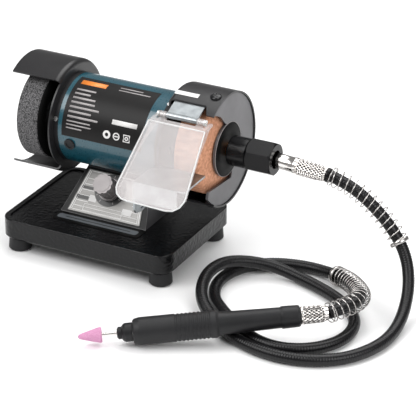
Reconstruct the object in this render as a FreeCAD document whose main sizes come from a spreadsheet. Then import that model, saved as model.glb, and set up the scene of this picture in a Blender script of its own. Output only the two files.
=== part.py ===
import FreeCAD, Part
import Sketcher
import math
import os
import re

# Small bench grinder with a grinding wheel, a polishing wheel and a flexible drive shaft.
# Millimetres.  X runs along the spindle towards the flexible shaft, Y to the back, Z up.
# The origin is on the floor under the middle of the base.

SIZES = {
    # base
    "base_length": 150.0, "base_depth": 110.0, "base_corner": 12.0, "base_bottom": 11.2,
    "deck_top": 27.5, "rim_top": 28.7, "rim_width": 4.5, "deck_thick": 3.0, "wall": 3.0,
    "cover_thick": 1.5, "foot_x": 63.5, "foot_y": 43.0, "foot_radius": 9.25,
    "strip_left": -40.0, "strip_right": 38.0, "strip_front": -34.0, "strip_back": -20.5,
    # pedestal and its sloping panel
    "slope": 47.1, "slope_front": -19.0, "ped_left": -40.0, "ped_right": 37.0, "ped_back": 46.0,
    "ped_top": 60.0, "ped_top_left": -29.3, "ped_top_right": 26.3, "ped_top_front": 11.2,
    "ped_top_back": 36.0, "knob_x": -3.3, "knob_up": 24.5, "knob_radius": 8.3,
    "knob_height": 16.0, "panel_thick": 0.8,
    # spindle and motor
    "axis_back": 20.5, "axis_height": 92.6, "can_radius": 35.8, "can_inner": 33.5,
    "can_half": 43.0, "bell_half": 47.0, "shaft_radius": 4.0, "core_radius": 20.0,
    "core_half": 20.0, "brush_x": -32.5, "brush_angle": 102.0,
    # guards and wheels
    "hood_radius": 46.0, "hood_thick": 1.4, "left_outer": -90.0, "right_outer": 89.4,
    "wheel_radius": 37.5, "grind_outer": -80.1, "grind_inner": -61.4, "polish_inner": 61.0,
    # eye shield
    "hinge_y": -10.0, "hinge_z": 125.6, "bend_y": -19.8, "bend_z": 123.5,
    "shield_left": 41.0, "shield_right": 89.0, "shield_fall": 42.7, "shield_thick": 2.0,
    # tool rest
    "rest_top": 86.0, "rest_left": 46.4, "rest_right": 88.6, "rest_front": -50.5,
    "rest_back": -17.5, "sheet": 1.5, "rest_bolt_y": -15.0, "rest_bolt_z": 63.5,
    # flexible shaft
    "hub_x": 86.5, "hub_thick": 2.0, "hub_radius": 21.8, "hose_radius": 4.7,
    "ferrule_x": 128.0, "ferrule_drop": 4.0, "spring_outer": 8.0, "wire_radius": 0.65,
    # handpiece
    "nose_x": 92.0, "nose_y": -137.0, "nose_z": 11.2, "tip_x": -0.867, "tip_y": -0.489,
    "tip_z": -0.094,
}

HOSE_ROUTE = [
    (176, 20.5, 89.2), (191, 20.5, 85.5), (209, 20.5, 74.5), (227, 20.5, 58), (241, 17, 40),
    (250, 4, 24), (255, -16, 10.5), (257, -40, 4.8), (254, -65, 4.8), (241, -90, 4.8),
    (219, -105, 4.8), (194, -110, 4.8), (168, -106, 4.8), (145, -95, 4.8), (129, -83, 5),
    (114, -71, 9.5), (105.5, -56, 14), (102, -37, 17), (106, -18, 17), (117.5, -2, 13),
    (135, 6.5, 9), (156, 6, 5.5), (178, -1, 4.8), (197, -10, 4.8), (215, -23, 4.8),
    (227.5, -42, 4.8), (228.5, -65, 4.8), (217.5, -85.5, 4.8), (198, -98, 4.8),
    (174.5, -98, 4.8), (151, -84.5, 4.8), (131, -69, 4.8), (114, -53, 4.8), (105, -29, 4.8),
    (109, -3, 4.8), (127, 17, 4.8), (152, 25, 4.8), (176, 22, 6.2), (198, 9, 10.8),
    (215, -11, 16.8), (226.5, -30, 22.5), (227, -50, 25.5), (216, -67, 24.6),
]

FRONT_COIL_LAST_RUN = 3   # the coils cover the hose's runs up to this one
REAR_COIL_FIRST_RUN = 37  # and from this one on

doc = FreeCAD.newDocument("BenchGrinder")
sheet = doc.addObject("Spreadsheet::Sheet", "Sizes")
nodes = {}


def formula(text):
    """Expression text with each size name pointed at the sheet."""
    def point(match):
        word = match.group()
        return "Sizes." + word if word in SIZES else word
    return re.sub(r"[a-z][a-z0-9_]*", point, str(text))


def value(text):
    """A formula's value in millimetres or degrees."""
    return float(sheet.evalExpression(formula(text)))


def bind(item, **formulas):
    """Drive properties of an object from the sheet."""
    for name, text in formulas.items():
        item.setExpression(name, formula(text))
    return item


def place(item, x="0", y="0", z="0"):
    """Drive the position of an object from the sheet."""
    for name, text in (("x", x), ("y", y), ("z", z)):
        item.setExpression("Placement.Base." + name, formula(text))
    return item


def turn(item, axis, angle):
    """Turn an object about its own origin by a driven angle."""
    item.Placement.Rotation = FreeCAD.Rotation(FreeCAD.Vector(*axis), value(angle))
    item.setExpression("Placement.Rotation.Angle", formula(angle))
    return item


def node(name, item):
    """Register a finished sub-part under its file name."""
    item.Label = name
    nodes[name] = item
    return item


def write_sizes():
    for row, (name, size) in enumerate(SIZES.items(), start=1):
        sheet.set(f"A{row}", name)
        sheet.set(f"B{row}", str(size))
        sheet.setAlias(f"B{row}", name)
    doc.recompute()


# ---------------------------------------------------------------- primitives

def block(x0, x1, y0, y1, z0, z1):
    item = doc.addObject("Part::Box", "Block")
    bind(item, Length=f"({x1})-({x0})", Width=f"({y1})-({y0})", Height=f"({z1})-({z0})")
    return place(item, x0, y0, z0)


def post(radius, x, y, z0, z1):
    item = doc.addObject("Part::Cylinder", "Post")
    bind(item, Radius=radius, Height=f"({z1})-({z0})")
    return place(item, x, y, z0)


def rod(radius, x0, x1, y="axis_back", z="axis_height"):
    """Cylinder along X."""
    item = doc.addObject("Part::Cylinder", "Rod")
    bind(item, Radius=radius, Height=f"({x1})-({x0})")
    item.Placement.Rotation = FreeCAD.Rotation(FreeCAD.Vector(0, 1, 0), 90)
    return place(item, x0, y, z)


def radial(radius, x, angle, inner, outer):
    """Cylinder pointing away from the spindle; angles run from the top to the front."""
    item = doc.addObject("Part::Cylinder", "Radial")
    bind(item, Radius=radius, Height=f"({outer})-({inner})")
    turn(item, (1, 0, 0), angle)
    return place(item, x, f"axis_back-({inner})*sin({angle})",
                 f"axis_height+({inner})*cos({angle})")


def slope_post(radius, x, up, low, high):
    """Cylinder square to the sloping panel, from one height above it to another."""
    item = doc.addObject("Part::Cylinder", "SlopePost")
    bind(item, Radius=radius, Height=f"({high})-({low})")
    return on_slope(item, x, up, low)


def on_slope(item, x, up, height):
    turn(item, (1, 0, 0), "slope")
    return place(item, x, f"slope_front+({up})*cos(slope)-({height})*sin(slope)",
                 f"deck_top+({up})*sin(slope)+({height})*cos(slope)")


def wedge(bottom, top, z0, z1):
    """Tapered block between a rectangle (x0, x1, y0, y1) at z0 and one at z1."""
    item = doc.addObject("Part::Wedge", "Wedge")
    bind(item, Xmin=bottom[0], Xmax=bottom[1], Zmin=f"-({bottom[3]})", Zmax=f"-({bottom[2]})",
         X2min=top[0], X2max=top[1], Z2min=f"-({top[3]})", Z2max=f"-({top[2]})",
         Ymin=z0, Ymax=z1)
    item.Placement.Rotation = FreeCAD.Rotation(FreeCAD.Vector(1, 0, 0), 90)
    return item


# ------------------------------------------------------------- sketched bodies

def new_body():
    return doc.addObject("PartDesign::Body", "Body")


def new_sketch(body, role):
    sketch = body.newObject("Sketcher::SketchObject", "Outline")
    plane = next(item for item in body.Origin.OriginFeatures if item.Role == role)
    sketch.AttachmentSupport = [(plane, "")]
    sketch.MapMode = "FlatFace"
    return sketch


def polygon(sketch, points):
    """Closed outline whose corners are each placed by two driven distances."""
    spots = [FreeCAD.Vector(value(a), value(b), 0) for a, b in points]
    count = len(spots)
    for index in range(count):
        sketch.addGeometry(Part.LineSegment(spots[index], spots[(index + 1) % count]), False)
    for index in range(count):
        sketch.addConstraint(Sketcher.Constraint("Coincident", index, 2, (index + 1) % count, 1))
    for index, (a, b) in enumerate(points):
        for kind, text in (("DistanceX", a), ("DistanceY", b)):
            datum = value(text)
            spot = Sketcher.Constraint(kind, -1, 1, index, 1, datum)
            number = sketch.addConstraint(spot)
            sketch.setExpression(f"Constraints[{number}]", formula(text))


def spin(points, angle="360"):
    """Outline of (along, radius) corners turned about the body's own X axis."""
    body = new_body()
    sketch = new_sketch(body, "XZ_Plane")
    polygon(sketch, points)
    feature = body.newObject("PartDesign::Revolution", "Turned")
    feature.Profile = sketch
    feature.ReferenceAxis = (sketch, ["H_Axis"])
    feature.setExpression("Angle", formula(angle))
    body.Tip = feature
    return body


def lathe(points):
    """Turned part on the spindle."""
    return place(spin(points), "0", "axis_back", "axis_height")


def sector(points, start, span):
    """Part of a turned ring on the spindle, from one angle over a span."""
    body = spin(points, span)
    turn(body, (1, 0, 0), start)
    return place(body, "0", "axis_back", "axis_height")


def ring_sector(x0, x1, inner, outer, start, span):
    corners = [(x0, inner), (x1, inner), (x1, outer), (x0, outer)]
    return sector(corners, start, span)


def prism(role, points, length, midplane=False):
    """Outline padded square to one of the body's own planes."""
    body = new_body()
    sketch = new_sketch(body, role)
    polygon(sketch, points)
    pad = body.newObject("PartDesign::Pad", "Padded")
    pad.Profile = sketch
    pad.Midplane = midplane
    pad.setExpression("Length", formula(length))
    body.Tip = pad
    return body


def side_plate(points, x0, thick):
    """Plate in a plane square to the spindle; corners are (y, z)."""
    return place(prism("YZ_Plane", points, thick), x0)


# ------------------------------------------------------------------- booleans

def cut(base, *tools):
    item = doc.addObject("Part::Cut", "Cut")
    item.Base = base
    item.Tool = tools[0] if len(tools) == 1 else fuse(*tools)
    return item


def fuse(*items):
    item = doc.addObject("Part::MultiFuse", "Fused")
    item.Shapes = list(items)
    return item


def common(*items):
    item = doc.addObject("Part::MultiCommon", "Common")
    item.Shapes = list(items)
    return item


def group(*items):
    item = doc.addObject("Part::Compound", "Group")
    item.Links = list(items)
    return item


def dress(kind, base, size, wanted):
    """Fillet or chamfer the edges that pass a test."""
    doc.recompute()
    item = doc.addObject(kind, "Dressed")
    item.Base = base
    chosen = [n for n, edge in enumerate(base.Shape.Edges, start=1) if wanted(edge)]
    if not chosen:
        raise RuntimeError("no edge to dress")
    item.Edges = [(n, size, size) for n in chosen]
    return item


def around(angles, make):
    return [make(angle) for angle in angles]


# ----------------------------------------------------------------------- base

def rounded_slab(length, depth, corner, z0, z1):
    """Rectangular slab with rounded upright corners, centred on the origin."""
    slab = block(f"-({length})/2", f"({length})/2", f"-({depth})/2", f"({depth})/2", z0, z1)
    upright = lambda edge: abs(edge.BoundBox.ZLength - value(f"({z1})-({z0})")) < 1e-6
    return dress("Part::Fillet", slab, value(corner), upright)


def at_height(edge, height):
    box = edge.BoundBox
    return abs(box.ZMin - height) < 1e-4 and abs(box.ZMax - height) < 1e-4


def feet_spots():
    return [(x, y) for y in ("-foot_y", "foot_y") for x in ("-foot_x", "foot_x")]


def make_base():
    shell = rounded_slab("base_length", "base_depth", "base_corner", "base_bottom", "rim_top")
    shell = dress("Part::Chamfer", shell, 2.2, lambda e: at_height(e, value("base_bottom")))
    shell = dress("Part::Fillet", shell, 0.9, lambda e: at_height(e, value("rim_top")))
    deck = rounded_slab("base_length-2*rim_width", "base_depth-2*rim_width",
                        "base_corner-rim_width", "deck_top", "rim_top+1")
    hollow = rounded_slab("base_length-2*wall", "base_depth-2*wall", "base_corner-wall",
                          "base_bottom-1", "deck_top-deck_thick")
    inlet = post("5", "0", "0", "0", "12")
    inlet.Placement.Rotation = FreeCAD.Rotation(FreeCAD.Vector(1, 0, 0), -90)
    place(inlet, "-42", "base_depth/2-8", "19.5")
    bosses = [post("5", x, y, "base_bottom+cover_thick", "deck_top-deck_thick+0.5")
              for x, y in feet_spots()]
    bores = [post("1.6", x, y, "0", "22") for x, y in feet_spots()]
    holes = [post("1.6", x, y, "20", "30") for x, y in pedestal_screw_spots()]
    body = fuse(cut(shell, deck, hollow, inlet), *bosses)
    node("base_casting", cut(body, *bores, *holes))
    cover = rounded_slab("base_length-2*wall-0.6", "base_depth-2*wall-0.6",
                         "base_corner-wall-0.3", "base_bottom", "base_bottom+cover_thick")
    cover_bores = [post("1.6", x, y, "0", "22") for x, y in feet_spots()]
    node("bottom_cover", cut(cover, *cover_bores))


def make_feet():
    outline = [("base_bottom", "1.6"), ("base_bottom", "foot_radius-0.7"),
               ("1.2", "foot_radius"), ("0", "foot_radius-1.2"), ("0", "4.2"), ("3", "4.2"),
               ("3", "1.6")]
    feet = []
    for x, y in feet_spots():
        foot = spin(outline)
        foot.Placement.Rotation = FreeCAD.Rotation(FreeCAD.Vector(0, 1, 0), -90)
        feet.append(place(foot, x, y, "0"))
    node("rubber_feet", group(*feet))
    screws = []
    for x, y in feet_spots():
        screws.append(fuse(post("3.6", x, y, "1", "3"), post("1.6", x, y, "3", "21")))
    for x, y in pedestal_screw_spots():
        head = post("3", x, y, "deck_top-deck_thick-2", "deck_top-deck_thick")
        shank = post("1.6", x, y, "deck_top-deck_thick", "deck_top+8")
        screws.append(fuse(head, shank))
    node("base_screws", group(*screws))


def pedestal_screw_spots():
    return [("-34", "2"), ("31", "2"), ("-34", "38"), ("31", "38")]


def make_deck_plate():
    strip = block("strip_left", "strip_right", "strip_front", "strip_back", "deck_top",
                  "deck_top+0.6")
    node("deck_plate", dress("Part::Fillet", strip, 3.0,
                             lambda e: abs(e.BoundBox.ZLength - 0.6) < 1e-4))


def make_gland():
    outline = [("-1", "3.2"), ("-1", "4.9"), ("3", "4.9"), ("3", "6.8"), ("6", "6.8"),
               ("10", "5.2"), ("10", "3.2")]
    gland = spin(outline)
    gland.Placement.Rotation = FreeCAD.Rotation(FreeCAD.Vector(0, 0, 1), 90)
    node("cable_gland", place(gland, "-42", "base_depth/2-3", "19.5"))


# ------------------------------------------------------------------- pedestal

def make_pedestal():
    outer = wedge(("ped_left", "ped_right", "slope_front", "ped_back"),
                  ("ped_top_left", "ped_top_right", "ped_top_front", "ped_top_back"),
                  "deck_top", "ped_top")
    inner = wedge(("ped_left+2.2", "ped_right-2.2", "slope_front+2.9", "ped_back-2.2"),
                  ("ped_top_left+2.2", "ped_top_right-2.2", "ped_top_front+2.9",
                   "ped_top_back-2.2"), "deck_top", "ped_top")
    saddle = rod("can_radius", "-60", "60")
    hole = slope_post("4.2", "knob_x", "knob_up", "-6", "3")
    shell = cut(outer, inner)
    bosses = [post("3", x, y, "deck_top", "deck_top+9") for x, y in pedestal_screw_spots()]
    bores = [post("1.6", x, y, "20", "deck_top+8") for x, y in pedestal_screw_spots()]
    node("pedestal", cut(fuse(shell, *bosses), saddle, hole, *bores))


def make_panel():
    corners = [("-34", "2"), ("31", "2"), ("24.3", "38"), ("-27.3", "38")]
    plate = on_slope(prism("XY_Plane", corners, "panel_thick"), "0", "0", "0")
    hole = slope_post("4.2", "knob_x", "knob_up", "-6", "3")
    node("control_panel", cut(plate, hole))
    dial = slope_post("13.4", "knob_x", "knob_up", "panel_thick", "panel_thick+0.4")
    bore = slope_post("4.2", "knob_x", "knob_up", "0", "3")
    node("dial_disc", cut(dial, bore))


def make_knob():
    body = slope_post("knob_radius", "knob_x", "knob_up", "1.6", "1.6+knob_height")
    skirt = slope_post("knob_radius+0.9", "knob_x", "knob_up", "1.6", "4.2")
    flutes = []
    for step in range(10):
        x = f"knob_x+(knob_radius+0.9)*cos({step * 36})"
        up = f"knob_up+(knob_radius+0.9)*sin({step * 36})"
        flutes.append(slope_post("1.6", x, up, "4.2", "3+knob_height"))
    cap_seat = slope_post("6.4", "knob_x", "knob_up", "1.0+knob_height", "3+knob_height")
    shaft = slope_post("3", "knob_x", "knob_up", "-9.5", "3")
    cap = slope_post("6.4", "knob_x", "knob_up", "1.0+knob_height", "1.9+knob_height")
    node("speed_knob", fuse(cut(fuse(body, skirt), *flutes, cap_seat), cap, shaft))
    case = slope_post("8", "knob_x", "knob_up", "-10", "-2.15")
    bore = slope_post("3.05", "knob_x", "knob_up", "-12", "0")
    node("potentiometer", cut(case, bore))


def make_board():
    board = block("-25", "22", "2.4", "36", "deck_top+5", "deck_top+6.6")
    legs = [post("2.5", x, y, "deck_top", "deck_top+5")
            for x in ("-21", "18") for y in ("6", "32")]
    can = post("6", "8", "24", "deck_top+6.6", "deck_top+20")
    coil = post("5.5", "-12", "25", "deck_top+6.6", "deck_top+14")
    sink = block("-22", "-12.5", "8", "14", "deck_top+6.6", "deck_top+16")
    node("control_board", fuse(board, *legs, can, coil, sink))


# ---------------------------------------------------------------------- motor

def brush_angles():
    return ("brush_angle", "brush_angle+180")


def bell_screw_spots():
    return [("-45", "72"), ("-45", "192"), ("-45", "312"), ("45", "22"), ("45", "202"),
            ("45", "262")]


def make_motor():
    can = lathe([("-can_half", "can_inner"), ("can_half", "can_inner"),
                 ("can_half", "can_radius"), ("-can_half", "can_radius")])
    seats = around(brush_angles(), lambda a: radial("4.5", "brush_x", a, "28", "40"))
    node("motor_housing", cut(can, *seats))
    for name, side in (("end_bell_left", -1), ("end_bell_right", 1)):
        outline = [(47, 6.6), (47, 36), (43, 36), (43, 33.5), (40, 33.5), (40, 31), (44, 31),
                   (44, 14), (38, 14), (38, 11), (45, 11), (45, 6.6)]
        bell = lathe([(str(side * x), str(r)) for x, r in outline])
        heads = [radial("1.9", x, a, "35.2", "37.2") for x, a in bell_screw_spots()
                 if float(x) * side > 0]
        holes = [rod("1.5", f"{side * 46}-3", f"{side * 46}+3", y, z)
                 for y, z in plate_screw_spots()]
        node(name, cut(bell, *heads, *holes))
    screws = [radial("1.9", x, a, "35.2", "37.2") for x, a in bell_screw_spots()]
    node("bell_screws", group(*screws))
    node("motor_label", ring_sector("-39.4", "32", "can_radius", "can_radius+0.25", "4", "87"))


def make_field():
    yoke = ring_sector("-core_half", "core_half", "26", "can_inner", "0", "360")
    shoes = around(("-50", "130"), lambda a: ring_sector("-core_half", "core_half", "20.7", "26",
                                                         a, "100"))
    node("field_stator", fuse(yoke, *shoes))
    coils = []
    for start in (-68, 112):
        full = ring_sector("-27", "27", "21.4", "25.6", str(start), "136")
        window = ring_sector("-core_half-0.3", "core_half+0.3", "19", "28", str(start + 17),
                             "102")
        coils.append(cut(full, window))
    node("field_windings", group(*coils))


def make_brushes():
    holders = []
    caps = []
    carbons = []
    springs = []
    for angle in brush_angles():
        tube = radial("3.3", "brush_x", angle, "13", "33.6")
        bore = radial("2.3", "brush_x", angle, "12", "34")
        holders.append(cut(tube, bore))
        slot = radial("3.1", "brush_x", angle, "36.6", "38")
        caps.append(cut(radial("4.5", "brush_x", angle, "33.6", "37.2"), slot))
        carbons.append(radial("2.3", "brush_x", angle, "10.4", "23"))
        springs.append(cut(radial("1.9", "brush_x", angle, "23", "33.6"),
                           radial("1.2", "brush_x", angle, "23", "33.6")))
    node("brush_holders", group(*holders))
    node("brush_caps", group(*caps))
    node("carbon_brushes", group(*carbons, *springs))


def make_bearings():
    for name, start in (("bearing_left", "-45"), ("bearing_right", "38")):
        ring = [(start, "shaft_radius+0.05"), (start + "+7", "shaft_radius+0.05"),
                (start + "+7", "11"), (start, "11")]
        node(name, lathe(ring))


def make_rotor():
    shape = [(-90, 0), (-90, 3.2), (-89.2, 4), (-59, 4), (-59, 6), (-46, 6), (-46, 4),
             (-27, 4), (-27, 6), (27, 6), (27, 4), (46, 4), (46, 6), (58.6, 6), (58.6, 4),
             (86, 4), (86, 3), (106, 3), (106, 0)]
    node("rotor_shaft", lathe([(str(x), str(r)) for x, r in shape]))
    core = ring_sector("-core_half", "core_half", "6", "core_radius", "0", "360")
    cutters = [ring_sector("-core_half-1", "core_half+1", "11", "core_radius+1",
                           str(30 * step), "9") for step in range(12)]
    node("armature_core", cut(core, *cutters))
    ends = [ring_sector("-26.5", "-core_half", "6", "17.5", "0", "360"),
            ring_sector("core_half", "26.5", "6", "17.5", "0", "360")]
    bars = [ring_sector("-core_half", "core_half", "11.3", "18.6", str(30 * step + 0.8), "7.4")
            for step in range(12)]
    node("armature_windings", fuse(*ends, *bars))
    drum = lathe([("-37.4", "shaft_radius"), ("-27.2", "shaft_radius"), ("-27.2", "11.5"),
                  ("-28.6", "11.5"), ("-28.6", "10"), ("-37.4", "10")])
    slits = [ring_sector("-38", "-28.6", "8.6", "11", str(24 * step), "3")
             for step in range(15)]
    node("commutator", cut(drum, *slits))
    hub = ring_sector("29", "36", "shaft_radius", "8", "0", "360")
    web = ring_sector("29", "30.2", "7", "27", "0", "360")
    blades = [ring_sector("30", "36.5", "12", "28", str(40 * step), "3.5") for step in range(9)]
    node("cooling_fan", fuse(hub, web, *blades))


# ----------------------------------------------------------- guards and wheels

def plate_screw_spots():
    spots = []
    for angle in (90, 210, 330):
        spots.append((f"axis_back-24*sin({angle})", f"axis_height+24*cos({angle})"))
    return spots


def pan(face, rim, start, span, side):
    """Pressed hood: a flat ring that turns outwards into a cylindrical wall."""
    t = f"{side}*hood_thick"
    outline = [(face, "12"), (face, "hood_radius"), (rim, "hood_radius"),
               (rim, "hood_radius-hood_thick"), (f"{face}+{t}", "hood_radius-hood_thick"),
               (f"{face}+{t}", "12")]
    shell = sector(outline, start, span)
    flat = value(face)
    step = value(f"{face}+{t}")

    def corner(level, radius):
        """Test for the round edge at one place along the spindle."""
        def wanted(edge):
            box = edge.BoundBox
            ring = abs(box.XMin - level) < 1e-4 and abs(box.XMax - level) < 1e-4
            return (ring and hasattr(edge.Curve, "Radius")
                    and abs(edge.Curve.Radius - value(radius)) < 0.01)
        return wanted

    bend_outer, bend_inner = 4.0, 2.6
    rounded = dress("Part::Fillet", shell, bend_outer, corner(flat, "hood_radius"))
    return dress("Part::Fillet", rounded, bend_inner, corner(step, "hood_radius-hood_thick"))


def make_guards():
    left_pan = pan("-bell_half", "left_outer", "143", "249", -1)
    left_disc = ring_sector("-bell_half-hood_thick", "-bell_half", "8.5", "42", "0", "360")
    holes = [rod("1.5", "-50", "-45", y, z) for y, z in plate_screw_spots()]
    node("guard_left", cut(fuse(left_pan, left_disc), *holes))
    right_pan = pan("bell_half", "right_outer", "146", "249", 1)
    # the front edge runs back from the outer rim in a small ear
    notch = [("40", "-20"), ("83.5", "-20"), ("83.5", "-6.3"), ("79.4", "1.8"), ("40", "1.8")]
    trim = place(prism("XY_Plane", notch, "60"), "0", "0", "axis_height+20")
    right_disc = ring_sector("bell_half", "bell_half+hood_thick", "8.5", "38.5", "0", "360")
    lug = block("bell_half", "bell_half+hood_thick", "rest_bolt_y-5", "rest_bolt_y+9",
                "rest_bolt_z-5", "rest_bolt_z+7")
    bores = [rod("1.5", "45", "50", y, z) for y, z in plate_screw_spots()]
    bolt = rod("1.5", "40", "60", "rest_bolt_y", "rest_bolt_z")
    ties = [radial("1.6", "82", a, "40", "50") for a in bracket_angles()]
    shell = fuse(cut(right_pan, trim), right_disc, lug)
    node("guard_right", cut(shell, *bores, bolt, *ties))
    head_height, screw_reach = 2.0, 43.6
    screws = []
    for side in (-1, 1):
        for y, z in plate_screw_spots():
            face = side * value("bell_half+hood_thick")
            low, high = sorted((face, face + side * head_height))
            shank_low, shank_high = sorted((side * screw_reach, face))
            head = rod("2.9", str(low), str(high), y, z)
            screws.append(fuse(head, rod("1.5", str(shank_low), str(shank_high), y, z)))
    node("guard_screws", group(*screws))
    node("inspection_tag", ring_sector("49", "69", "hood_radius", "hood_radius+0.2", "11.5",
                                       "5.6"))


def make_wheels():
    stone = [("grind_outer", "4"), ("grind_outer", "wheel_radius-0.8"),
             ("grind_outer+0.8", "wheel_radius"), ("grind_inner-0.8", "wheel_radius"),
             ("grind_inner", "wheel_radius-0.8"), ("grind_inner", "4")]
    node("grinding_wheel", lathe(stone))
    mop = [(61, 4), (61, 36.9), (61.6, 37.5), (79.6, 37.5), (81.4, 36.6), (82.6, 34.2),
           (84.0, 28), (85.2, 21.4), (85.8, 14.6), (80, 14.6), (80, 4)]
    node("polishing_wheel", lathe([(str(x), str(r)) for x, r in mop]))
    flanges = []
    for low, high in ((-82.5, -80.1), (-61.4, -59), (58.6, 61), (80, 82.4)):
        flanges.append(ring_sector(str(low), str(high), "shaft_radius", "13", "0", "360"))
    node("wheel_flanges", group(*flanges))
    nuts = [hex_bar("7.4", "-87", "-82.5"), hex_bar("7.4", "82.4", "86")]
    bores = [rod("shaft_radius", "-88", "-82"), rod("shaft_radius", "82", "87")]
    node("spindle_nuts", group(cut(nuts[0], bores[0]), cut(nuts[1], bores[1])))


def hex_bar(radius, x0, x1):
    """Hexagonal bar on the spindle."""
    item = doc.addObject("Part::Prism", "HexBar")
    item.Polygon = 6
    bind(item, Circumradius=radius, Height=f"({x1})-({x0})")
    item.Placement.Rotation = FreeCAD.Rotation(FreeCAD.Vector(0, 1, 0), 90)
    return place(item, x0, "axis_back", "axis_height")


# ------------------------------------------------------- eye shield, tool rest

def make_shield_bracket():
    flange = ring_sector("52", "78", "hood_radius-hood_thick-1.3", "hood_radius-hood_thick",
                         "12", "11.6")
    slab = [("2.7", "133.2"), ("3.4", "131.9"), ("hinge_y+0.6", "hinge_z+0.6"),
            ("hinge_y-0.3", "hinge_z+1.8")]
    plate = side_plate(slab, "52", "26")
    barrel = rod("2.5", "52", "78", "hinge_y", "hinge_z")
    bore = rod("1.5", "50", "80", "hinge_y", "hinge_z")
    node("shield_bracket", cut(fuse(flange, plate, barrel), bore))
    pin = rod("1.5", "45.2", "84.4", "hinge_y", "hinge_z")
    head = rod("2.6", "44.2", "45.9", "hinge_y", "hinge_z")
    nut = rod("2.6", "83.7", "85.4", "hinge_y", "hinge_z")
    node("hinge_bolt", fuse(pin, head, nut))


def make_eye_shield():
    # panel corners are (across, distance down from the bend)
    outline = [("shield_left", "0"), ("shield_left-4.9", "54.5"), ("shield_left-4.6", "58.5"),
               ("shield_left-2.2", "63"), ("shield_left+2.5", "66"),
               ("shield_left+8", "66.8"), ("shield_right-7", "67.4"),
               ("shield_right-1.5", "66.4"), ("shield_right+3", "62.6"),
               ("shield_right+4.9", "57.6"), ("shield_right+4.9", "54.5"),
               ("shield_right", "0")]
    mirrored = [(x, f"-({s})") for x, s in outline]
    panel = prism("XY_Plane", mirrored, "shield_thick")
    turn(panel, (1, 0, 0), "shield_fall")
    place(panel, "0", "bend_y+shield_thick*sin(shield_fall)",
          "bend_z-shield_thick*cos(shield_fall)")
    strip = side_plate([("bend_y", "bend_z"), ("-6", "bend_z+0.8"), ("-6", "bend_z-1.2"),
                        ("bend_y+0.9", "bend_z-2")], "shield_left", "shield_right-shield_left")
    ears = [rod("2.7", "46.4", "51.7", "hinge_y", "hinge_z"),
            rod("2.7", "78.3", "83.6", "hinge_y", "hinge_z")]
    sides = []
    cheek = [("0", "0"), ("13.8", "0.8"), ("12.5", "-3"), ("-9", "-15.5"), ("-18.5", "-23"),
             ("-39", "-41"), ("-41.9", "-38.7")]
    for edge, angle, shift in (("shield_left", "-7", "0"), ("shield_right", "7", "-1.6")):
        side = prism("YZ_Plane", cheek, "1.6")
        turn(side, (0, 0, 1), angle)
        sides.append(place(side, f"{edge}+{shift}", "bend_y", "bend_z"))
    gap = block("51.85", "78.15", "-14.6", "-4", "bend_z-4", "bend_z+3")
    notches = [block(x0, x1, "-14.6", "-4", "bend_z-4", "bend_z+3")
               for x0, x1 in (("43.8", "46.3"), ("83.6", "85.8"))]
    bore = rod("1.56", "40", "90", "hinge_y", "hinge_z")
    shell = fuse(cut(fuse(panel, strip, *sides), gap, *notches), *ears)
    node("eye_shield", cut(shell, bore))


def make_tool_rest():
    top = block("rest_left", "rest_right", "rest_front", "rest_back", "rest_top-sheet",
                "rest_top")
    corner = block("rest_left-1", "bell_half+hood_thick+0.6", "-22.5", "0", "rest_top-3",
                   "rest_top+1")
    apron = block("rest_left", "82", "rest_front-sheet", "rest_front", "rest_top-16",
                  "rest_top")
    cheek = [("rest_front-sheet", "rest_top"), ("rest_front-sheet", "62"), ("-49.5", "58.5"),
             ("-42", "56.8"), ("-34", "57.6"), ("-6", "59.5"), ("-6", "66"),
             ("-10.8", "72.5"), ("-14.8", "80"), ("-23.5", "82.5"), ("-23.5", "rest_top")]
    side = side_plate(cheek, "rest_left-sheet", "sheet")
    slot = [rod("1.75", "40", "50", "rest_bolt_y", "rest_bolt_z"),
            rod("1.75", "40", "50", "rest_bolt_y+5.4", "rest_bolt_z"),
            block("40", "50", "rest_bolt_y", "rest_bolt_y+5.4", "rest_bolt_z-1.75",
                  "rest_bolt_z+1.75")]
    spare = block("40", "50", "-42.5", "-35.5", "59.2", "61.6")
    node("tool_rest", cut(fuse(cut(top, corner), apron, side), *slot, spare))
    shank = rod("1.5", "42.5", "50.4", "rest_bolt_y", "rest_bolt_z")
    head = rod("3.2", "42.3", "rest_left-sheet-0.1", "rest_bolt_y", "rest_bolt_z")
    nut = rod("3.2", "bell_half+hood_thick", "50.6", "rest_bolt_y", "rest_bolt_z")
    node("rest_bolt", fuse(shank, head, nut))


# ------------------------------------------------------------- flexible shaft

def bracket_angles():
    return ("10", "166")


def make_flex_bracket():
    # a plate across the back of the hood's end, cut away at the front for the work
    hub = ring_sector("hub_x", "hub_x+hub_thick", "5", "hub_radius", "0", "360")
    outline = [("-5", "140"), ("-5", "131"), ("8", "124.5"), ("15.2", "116.6"), ("30", "104"),
               ("30", "78"), ("26.2", "66"), ("-11.5", "68.9"), ("-14", "58"), ("0", "44"),
               ("68", "44"), ("68", "140")]
    limit = rod("hood_radius-hood_thick-0.3", "70", "95")
    reach = cut(common(side_plate(outline, "hub_x", "hub_thick"), limit),
                rod("5", "70", "95"))
    tabs = [ring_sector("80.6", "88.3", "hood_radius-hood_thick-1.6",
                        "hood_radius-hood_thick", f"{a}-16.3", "32.6")
            for a in bracket_angles()]
    ties = [radial("1.6", "82", a, "40", "50") for a in bracket_angles()]
    node("flex_bracket", cut(fuse(hub, reach, *tabs), *ties))
    screws = []
    for angle in bracket_angles():
        head = radial("4.4", "82", angle, "hood_radius", "hood_radius+2.2")
        shank = radial("1.6", "82", angle, "42.4", "hood_radius")
        screws.append(fuse(head, shank))
    node("flex_bracket_screws", group(*screws))
    bush = [("hub_x+0.1", "3.6"), ("98", "3.6"), ("98", "5"), ("hub_x+0.1", "5")]
    node("spindle_bushing", lathe(bush))


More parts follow.
